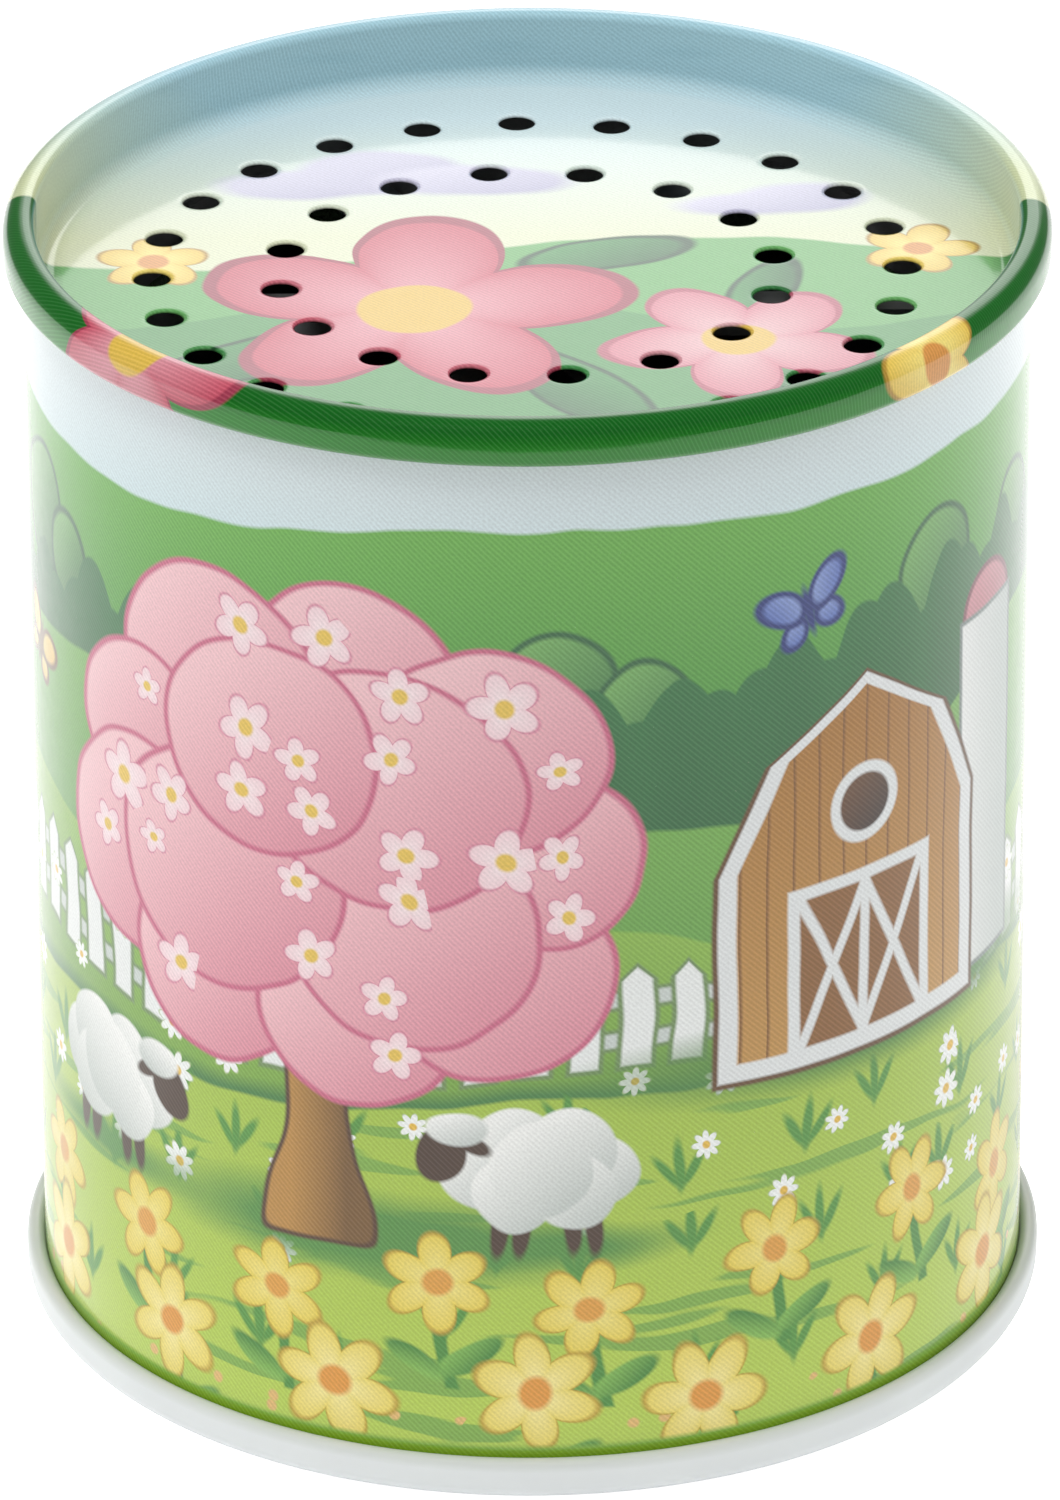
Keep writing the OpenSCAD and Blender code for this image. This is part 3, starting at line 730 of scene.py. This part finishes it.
# Cover print: one round picture on the flat sheet, drawn with it over the wall, the crest and the skirt
coverArt = {
    "far": (5, 22),   # from near to far, in mm from the middle
    "sky": ("#cfd4b6", "#c8dade"),   # near, far
    # the sky ink on the chuck wall, darkened as painted shade: near, far
    "shadedWallSky": ("#c3cca0", "#a0c6d2"),
    "wall": (26.5, 28.5),   # where the panel goes over into the wall, as a radius on the flat sheet
    "skirt": (33.4, 34.4),
    "rim": ("#045f12", "#167c12"),   # crest, skirt
    "clouds": {"inks": ("#c4c2d4", "#a9a7bf"), "edge": 0.35, "ovals": (
        ((-13, 12.5), (5, 2)), ((-8.5, 14.2), (4.8, 3)), ((-3, 13), (5.5, 2.2)), ((13, 9.4), (4.2, 1.5)),
        ((16, 10.4), (3.6, 2)))},
    "hills": ((2.6, 2.2, 0.11, 0.6, "#62a35c"), (-5.5, 2.6, 0.15, 2.4, "#4b8f4f")),   # level, wave, ink
    "hillEdge": 0.15,
    "leaves": {"inks": ("#3f8a48", "#1f5f2f"), "rim": "#174a26", "ovals": (
        ((-16, -12), (7, 2.6), 35), ((3, -16), (7, 2.6), -55), ((4.5, 2.5), (5.5, 2.2), 20),
        ((17, -15), (6, 2.4), -20), ((13.5, -2.6), (4.6, 1.9), 70))},
    "pink": ("#cb8a94", "#b9495d", "#d0ad45", "#96344a"),
    "pale": ("#d0a6aa", "#c47483", "#d0ad45", "#a94f63"),
    "yellow": ("#e8d57a", "#d9b84c", "#cf8f45", "#a8842f"),
    "petals": 5, "petalEdge": 0.12,
    "flowers": (   # place, radius, turn, inks
        ((-6.5, -5), 12.2, 12, "pink"), ((12, -9.5), 7.6, 50, "pale"), ((-24, -21), 8.5, 30, "pink"),
        ((22.5, 3), 3.4, 0, "yellow"), ((-21.5, 1.5), 3.2, 20, "yellow"), ((26, -22), 4.6, 10, "yellow")),
}
printedCover, put, place = newMaterial("varnished litho cover")
flatPlace = put("UVMap", uv_map="flatPrint")
drawn = put("VectorMath ADD", flatPlace, waverOf(place))
spot = put("VectorMath MULTIPLY", drawn, (1, 1, 0))
part = put("SeparateXYZ", spot).node.outputs
flatRadius = put("VectorMath LENGTH", flatPlace)
far = put("MapRange", part["Y"], *coverArt["far"])
onWall = put("MapRange", flatRadius, *coverArt["wall"])
# painted shade: the sky on the wall is darker than the same sky on the panel
panelSky, shadedWallSky = (put("Mix RGBA", far, *coverArt[inks]) for inks in ("sky", "shadedWallSky"))
ink = put("Mix RGBA", onWall, panelSky, shadedWallSky)
rimInk = put("Mix RGBA", put("MapRange", flatRadius, *coverArt["skirt"]), *coverArt["rim"])
ink = inkOvals(ink, spot, **coverArt["clouds"])
for level, height, pace, phase, tone in coverArt["hills"]:
    wave = put("Math SINE", put("Math MULTIPLY_ADD", part["X"], pace, phase))
    crest = put("Math MULTIPLY_ADD", wave, height, level)
    rise = put("Math SUBTRACT", part["Y"], crest)
    ink = layInk(ink, put("Mix RGBA", onWall, tone, rimInk), rise, 0, coverArt["hillEdge"])
ink = inkOvals(ink, spot, **coverArt["leaves"])
for at, radius, turn, inks in coverArt["flowers"]:
    local = put("Mapping", spot, (*at, 0), (0, 0, math.radians(turn)), (radius, radius, 1),
                vector_type="TEXTURE")
    soft = coverArt["petalEdge"] / radius
    ink = inkFlower(ink, local, coverArt["petals"], coverArt[inks], soft)
finishPrint(place, flatPlace, ink)
print("cover printed with", len(printedCover.node_tree.nodes), "nodes")

# White lacquer on the foot: stoved enamel, cool white, greyed with painted shade along the seam's upper fold
lacquer = {
    "cloud": 6,   # size of its faint clouds, in mm
    "tones": ("#d6dadc", "#e1e5e6"),
    "fold": (1.95, tin["seamHigh"]),   # heights between which it goes grey
    "foldShadeTone": "#c6cbc4", "gloss": (0.28, 0.42),
    "peel": 0.7,   # waves left in it, in mm
    "peelDeep": 0.005,
}
whiteLacquer, put, place = newMaterial("stoved white lacquer")
cloud = put("TexNoise", place, 1 / lacquer["cloud"], 3)
tone = put("Mix RGBA", cloud, *lacquer["tones"])
part = put("SeparateXYZ", place).node.outputs
# painted shade: the lacquer turns grey between these heights, up the seam's upper fold
tone = put("Mix RGBA", put("MapRange", part["Z"], *lacquer["fold"]), tone, lacquer["foldShadeTone"])
peel = put("TexNoise", place, 1 / lacquer["peel"], 2)
gloss = put("MapRange", cloud, 0, 1, *lacquer["gloss"])
finish(tone, gloss, peel, lacquer["peelDeep"], {"IOR": 1.5})


def keepPiece(bm, name, material, body, node, sheet=0, offset=-1):
    # a finished mesh becomes a piece in place of a CAD node, and a sheet gets its thickness
    for face in bm.faces:
        face.smooth = True
    piece = addMesh(bm, name, material)
    if body:
        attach(piece, body)
    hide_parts(node)
    if sheet:
        wall = piece.modifiers.new("sheet thickness", "SOLIDIFY")
        wall.thickness = sheet * mm
        wall.offset = offset
        wall.use_even_offset = True
    return piece


def lathe(outline, turns=tin["turns"], bends=tin["bends"]):
    # spins corners (radius, height, rounding) round the can; each point keeps its length along the sheet
    bm = bmesh.new()
    line = [bm.verts.new((radius * mm, 0, height * mm)) for radius, height, bend in outline]
    for pair in zip(line, line[1:]):
        bm.edges.new(pair)
    start = line[0].co.copy()
    for corner, (radius, height, bend) in zip(line, outline):
        if bend:
            bmesh.ops.bevel(bm, geom=[corner], affect="VERTICES", offset=bend * mm, segments=bends,
                            profile=0.5, material=-1)
    bmesh.ops.remove_doubles(bm, verts=bm.verts[:], dist=hair)
    flat = bm.verts.layers.float.new("flat")
    vert = min(bm.verts, key=lambda vert: (vert.co - start).length)
    vert[flat] = vert.co.x
    done = {vert}
    while True:
        onward = [edge.other_vert(vert) for edge in vert.link_edges if edge.other_vert(vert) not in done]
        if not onward:
            break
        onward[0][flat] = vert[flat] + (onward[0].co - vert.co).length
        vert = onward[0]
        done.add(vert)
    bmesh.ops.spin(bm, geom=bm.verts[:] + bm.edges[:], cent=(0, 0, 0), axis=(0, 0, 1),
                   angle=2 * math.pi, steps=turns, use_merge=True)
    bmesh.ops.remove_doubles(bm, verts=bm.verts[:], dist=hair)
    bmesh.ops.recalc_face_normals(bm, faces=bm.faces[:])
    return bm


def coverOutline(recess, panel):
    # the seen face of a cover from its panel to its hook; the crest is at height 0
    hook = rimRadius - 2 * (pitch + half)
    return panel + [
        (wallRadius, -recess, tin["panelFillet"] - half),
        (wallRadius, 0, tin["crestIn"] + half),
        (rimRadius, 0, tin["crestOut"] + half),
        (rimRadius, -tin["seamHigh"], pitch + half),
        (hook, -tin["seamHigh"], pitch + half),
        (hook, -half - 2 * pitch, 0),
    ]


# Body wall: the printed sheet between the seams, turned into a hook at each end
lockSeam = {"groove": (1.25, 1.75), "floor": (1.38, 1.62), "deep": 0.12}   # across the back, in mm
hookRadius = bodyRadius + 2 * (pitch - half)
turnHigh = half + 2 * pitch - (pitch - half)
hookEnd = tin["seamHigh"] - half - pitch
bm = lathe([
    (hookRadius, hookEnd, 0),
    (hookRadius, turnHigh, pitch - half),
    (bodyRadius, turnHigh, pitch - half),
    (bodyRadius, canHigh - turnHigh, pitch - half),
    (hookRadius, canHigh - turnHigh, pitch - half),
    (hookRadius, canHigh - hookEnd, 0),
])
for x in lockSeam["groove"] + lockSeam["floor"]:
    back = [face for face in bm.faces if face.calc_center_median().y > 0]
    around = dict.fromkeys(part for face in back for part in (*face.verts, *face.edges, face))
    bmesh.ops.bisect_plane(bm, geom=list(around), dist=hair, plane_co=(x * mm, 0, 0), plane_no=(1, 0, 0))
low, high = (x * mm for x in lockSeam["floor"])
for vert in bm.verts:
    if vert.co.y > 0 and low - hair < vert.co.x < high + hair:
        vert.co.y -= lockSeam["deep"] * mm
keepPiece(bm, "printed_wall", printedTin, "can", "can_body", tin["sheet"])
print("body wall rolled")

# Top cover: recessed panel with two rings of punched holes
topCover = {
    "recess": 4.1,
    "margin": 0.3,   # plain ring of the panel beside its fillet
    "hole": 2.1,
    "lip": ((0.22, 0), (0.08, 0.03), (0, 0.16)),   # edge that the punch drew in: wider by, lower by
    "rings": ((24, 43, 1.6), (16, 28.6, 8.9)),   # count, ring diameter, turn from the back
    "holeSteps": 28,
}
panelRadius = wallRadius - tin["panelFillet"] - topCover["margin"]
bm = lathe(coverOutline(topCover["recess"], [(panelRadius, -topCover["recess"], 0)]))
bmesh.ops.translate(bm, verts=bm.verts[:], vec=(0, 0, canHigh * mm))
panelHigh = (canHigh - topCover["recess"]) * mm
lipRadius = topCover["hole"] / 2 + 2 * topCover["lip"][0][0]
loops = [edge for edge in bm.edges if edge.is_boundary and abs(edge.verts[0].co.z - panelHigh) < hair]
holes = []
for count, across, turn in topCover["rings"]:
    for i in range(count):
        angle = math.radians(90 + turn + 360 * i / count)
        at = Vector((across / 2 * math.cos(angle) * mm, across / 2 * math.sin(angle) * mm, panelHigh))
        ring = bmesh.ops.create_circle(bm, segments=topCover["holeSteps"], radius=lipRadius * mm,
                                       matrix=Matrix.Translation(at))["verts"]
        ring = list(dict.fromkeys(edge for vert in ring for edge in vert.link_edges))
        holes.append((at, ring))
        loops += ring
bmesh.ops.triangle_fill(bm, use_beauty=True, use_dissolve=False, edges=loops)
for at, ring in holes:
    for wider, down in topCover["lip"]:
        grown = bmesh.ops.extrude_edge_only(bm, edges=ring)["geom"]
        ring = [part for part in grown if isinstance(part, bmesh.types.BMEdge)]
        for vert in (part for part in grown if isinstance(part, bmesh.types.BMVert)):
            out = (vert.co - at).to_2d().normalized().to_3d() * (topCover["hole"] / 2 + wider) * mm
            vert.co = at + out - Vector((0, 0, down * mm))
bmesh.ops.recalc_face_normals(bm, faces=bm.faces[:])
flat = bm.verts.layers.float["flat"]
flatPrint = bm.loops.layers.uv.new("flatPrint")
for face in bm.faces:
    for corner in face.loops:
        across = corner.vert.co.to_2d()
        onPanel = across.length <= (panelRadius + topCover["margin"] / 3) * mm
        stretch = 1 if onPanel else corner.vert[flat] / across.length
        corner[flatPrint].uv = across * stretch / mm
keepPiece(bm, "perforated_cover", printedCover, "can", "top_cover", tin["sheet"])
print("top cover punched")

# Foot: bottom cover with a stiffening step, the same seam turned over
foot = {"recess": 3, "step": 0.5, "stepRadius": 22, "slope": 0.55, "bend": 0.35}
stepHigh = -foot["recess"] - foot["step"]
panel = [
    (0, stepHigh, 0),
    (foot["stepRadius"] - foot["slope"], stepHigh, foot["bend"]),
    (foot["stepRadius"] + foot["slope"], -foot["recess"], foot["bend"]),
]
bm = lathe(coverOutline(foot["recess"], panel))
bmesh.ops.scale(bm, vec=(1, 1, -1), verts=bm.verts[:])
bmesh.ops.recalc_face_normals(bm, faces=bm.faces[:])
keepPiece(bm, "lacquered_foot", whiteLacquer, "can", "bottom_cover",
          tin["sheet"])
print("foot seamed")

# Felt stops and foam pad, soft and slightly uneven, inside their CAD solids
softRing = {
    "inner": {"upper_felt": 24.52, "lower_felt": 16.87},
    "bend": 0.35, "fuzz": 0.05, "lump": 1.8, "turns": 120, "bends": 4,
    "tangle": 0.5,   # size of the tangled fibres, in mm
    "tangleDeep": 0.12, "clump": 2.4,
    "tones": ("#2f4a2a", "#5f7f4f", "#456339"),   # two of the fibres, and one of the clumps
}

# Pressed wool felt: no gloss, tangled fibres that catch light at the edge
felt, put, place = newMaterial("pressed wool felt")
tangle = put("TexNoise", place, 1 / softRing["tangle"], 5, {"Distortion": 2.5})
clump = put("TexNoise", place, 1 / softRing["clump"], 2)
*fibres, clumped = softRing["tones"]
tone = put("Mix RGBA", clump, put("Mix RGBA", tangle, *fibres), clumped)
finish(tone, 0.95, tangle, softRing["tangleDeep"], {"Sheen Weight": 0.5, "Sheen Roughness": 0.5})
for node, inner in softRing["inner"].items():
    lowest, highest = (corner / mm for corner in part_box(node))
    low, high, outer, bend = lowest.z, highest.z, highest.x, softRing["bend"]
    middle = (low + high) / 2   # the outline ends a hair above its start, and closes there
    outline = [(inner, middle, 0), (inner, low, bend), (outer, low, bend), (outer, high, bend),
               (inner, high, bend), (inner, middle + hair / mm / 4, 0)]
    bm = lathe(outline, softRing["turns"], softRing["bends"])
    for vert in bm.verts:
        vert.co -= vert.normal * softRing["fuzz"] * mm * (1 + noise.noise(vert.co / mm / softRing["lump"]))
    ring = keepPiece(bm, node + "_ring", felt, "can", node)

# Open-celled polyurethane foam: matt grey ribs round small cells darkened with painted shade
foamDisc = {
    "bend": 0.7, "rings": 9, "dent": 0.1, "lump": 3, "turns": 90, "bends": 5, "cell": 0.7,
    "rib": 0.25,   # as part of a cell
    # grey of the ribs, and the painted shade deep in the cells
    "cellDeep": 0.15, "tones": ("#7c8087", "#3c3f44"),
}
foam, put, place = newMaterial("open-celled grey foam")
cells = put("TexVoronoi", place, 1 / foamDisc["cell"], feature="DISTANCE_TO_EDGE")
cellDepthAndShade = put("MapRange", cells, 0, foamDisc["rib"])
# painted shade: the cells go dark away from the ribs, where they sink in
finish(put("Mix RGBA", cellDepthAndShade, *foamDisc["tones"]), 0.95, cellDepthAndShade, foamDisc["cellDeep"], invert=True)
lowest, highest = (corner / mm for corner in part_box("foam_pad"))
steps = [highest.x * i / foamDisc["rings"] for i in range(foamDisc["rings"])]
outline = [(radius, lowest.z, 0) for radius in steps]
outline += [(highest.x, level, foamDisc["bend"]) for level in (lowest.z, highest.z)]
outline += [(radius, highest.z, 0) for radius in reversed(steps)]
bm = lathe(outline, foamDisc["turns"], foamDisc["bends"])
for vert in bm.verts:
    vert.co -= vert.normal * foamDisc["dent"] * mm * (1 + noise.noise(vert.co / mm / foamDisc["lump"])) / 2
foamPad = keepPiece(bm, "foam_disc", foam, "can", "foam_pad")

# Bellows: vinyl film, creamy, half glossy, paler where the folds have stressed it; it opens with the weight
pleat = {
    "inner": 19.07, "outer": 24.47, "low": 10.88, "pitch": 2, "count": 4, "cuff": 2.7, "film": 0.3,
    "bend": 0.5, "turns": 180, "bends": 4,
    "stressed": 0.7,   # width of the pale line along a fold
    "grain": 1.2, "grainDeep": 0.03,
    "tones": ("#cdbf9f", "#d9cdb2", "#ece6d8"),   # two of the film, and one along a fold
    "glow": {"IOR": 1.53, "Subsurface Weight": 0.15, "Subsurface Scale": 0.4 * mm},
}
vinyl, put, place = newMaterial("folded vinyl film")
part = put("SeparateXYZ", place).node.outputs
radius = put("VectorMath LENGTH", put("CombineXYZ", part["X"], part["Y"]))
middle = (pleat["inner"] + pleat["outer"]) / 2
reach = pleat["outer"] - middle
fold = put("Math ABSOLUTE", put("Math SUBTRACT", radius, middle))
fold = put("MapRange", fold, reach - pleat["stressed"], reach)
grain = put("TexNoise", place, 1 / pleat["grain"], 3)
*plain, stressed = pleat["tones"]
tone = put("Mix RGBA", fold, put("Mix RGBA", grain, *plain), stressed)
finish(tone, 0.42, grain, pleat["grainDeep"], pleat["glow"])
outline = [(pleat["inner"], pleat["low"] - pleat["cuff"], 0)]
for i in range(pleat["count"]):
    outline.append((pleat["inner"], pleat["low"] + pleat["pitch"] * i, pleat["bend"]))
    outline.append((pleat["outer"], pleat["low"] + pleat["pitch"] * (i + 0.5), pleat["bend"]))
top = pleat["low"] + pleat["pitch"] * pleat["count"]
outline += [(pleat["inner"], top, pleat["bend"]), (pleat["inner"], top + pleat["cuff"], 0)]
bm = lathe(outline, pleat["turns"], pleat["bends"])
bellows = keepPiece(bm, "pleated_bellows", vinyl, None, "bellows", pleat["film"], 0)
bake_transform(bellows, "can", "weight", start=(0, 0, pleat["low"] * mm), end=(0, 0, top * mm))
print("soft pieces made")

# Mouldings keep their CAD shapes: even colour with faint flow clouds and the fine grit of an eroded mould
mouldings = {   # name, tones, gloss, size and depth of the grit in mm
    "black_moulding": ("moulded black ABS", ("#17171a", "#222226"), (0.38, 0.5), 0.35, 0.02),
    "grey_moulding": ("moulded grey ABS", ("#8f9294", "#a0a3a4"), (0.38, 0.5), 0.35, 0.02),
    "ivory_moulding": ("moulded ivory polystyrene", ("#d8cdb0", "#e4dbc4"), (0.27, 0.39), 0.6, 0.008),
    "white_moulding": ("moulded white polypropylene", ("#d4d6d3", "#e2e3e0"), (0.36, 0.48), 0.5, 0.012),
    "red_moulding": ("moulded red polystyrene", ("#951c18", "#b02a22"), (0.24, 0.36), 0.6, 0.008),
}
flowCloud = 8   # in mm
finishes = {}
for slot, (name, tones, gloss, grit, deep) in mouldings.items():
    finishes[slot], put, place = newMaterial(name)
    flow = put("TexNoise", place, 1 / flowCloud, 2, {"Distortion": 1.5})
    skin = put("TexNoise", place, 1 / grit, 2)
    gloss = put("MapRange", skin, 0, 1, *gloss)
    finish(put("Mix RGBA", flow, *tones), gloss, skin, deep, {"IOR": 1.53})

# Rolled strip keeps its CAD shape: long faint lines from the rolls, and a cloudy film of handling
strips = {   # name, tones, gloss, lines in a mm each way
    "spring_steel": ("blued spring steel", ("#8b919b", "#6b7078"), (0.24, 0.42), (2.5, 0.15, 2.5)),
    "reed_brass": ("rolled reed brass", ("#d6b05a", "#b98f42"), (0.2, 0.38), (4, 4, 0.15)),
}
handled = 3   # size of the film's clouds, in mm
lineDeep = 0.004
for slot, (name, tones, gloss, stretch) in strips.items():
    finishes[slot], put, place = newMaterial(name)
    lines = put("TexNoise", put("VectorMath MULTIPLY", place, stretch), 1, 2)
    film = put("TexNoise", place, 1 / handled, 3)
    gloss = put("MapRange", film, 0, 1, *gloss)
    finish(put("Mix RGBA", film, *tones), gloss, lines, lineDeep, {"Metallic": 1})

# Weight ring keeps its CAD shape: mild steel off the lathe, bright, with rings that stretch the light
steel = {
    "feed": 0.25,   # step of the tool from ring to ring, in mm
    "feedDeep": 0.012,
    "stain": 5,   # size of the stains, in mm
    "stained": (0.35, 0.75), "tones": ("#c9ccd0", "#a9a59d"), "gloss": (0.26, 0.42),
}
finishes["turned_steel"], put, place = newMaterial("turned mild steel")
part = put("SeparateXYZ", place).node.outputs
radius = put("VectorMath LENGTH", put("CombineXYZ", part["X"], part["Y"]))
ringed = put("CombineXYZ", put("Math ADD", radius, part["Z"]))
rings = put("TexNoise", ringed, 1 / steel["feed"], 3)
stain = put("MapRange", put("TexNoise", place, 1 / steel["stain"], 4), *steel["stained"])
gloss = put("MapRange", stain, 0, 1, *steel["gloss"])
finish(put("Mix RGBA", stain, *steel["tones"]), gloss, rings, steel["feedDeep"], {"Metallic": 1})
for subpart in frame["record"]["subparts"]:
    if subpart["material_slot"] in finishes:
        frame["nodes"][subpart["node"]].material_slots[0].material = finishes[subpart["material_slot"]]
print("inner parts finished")
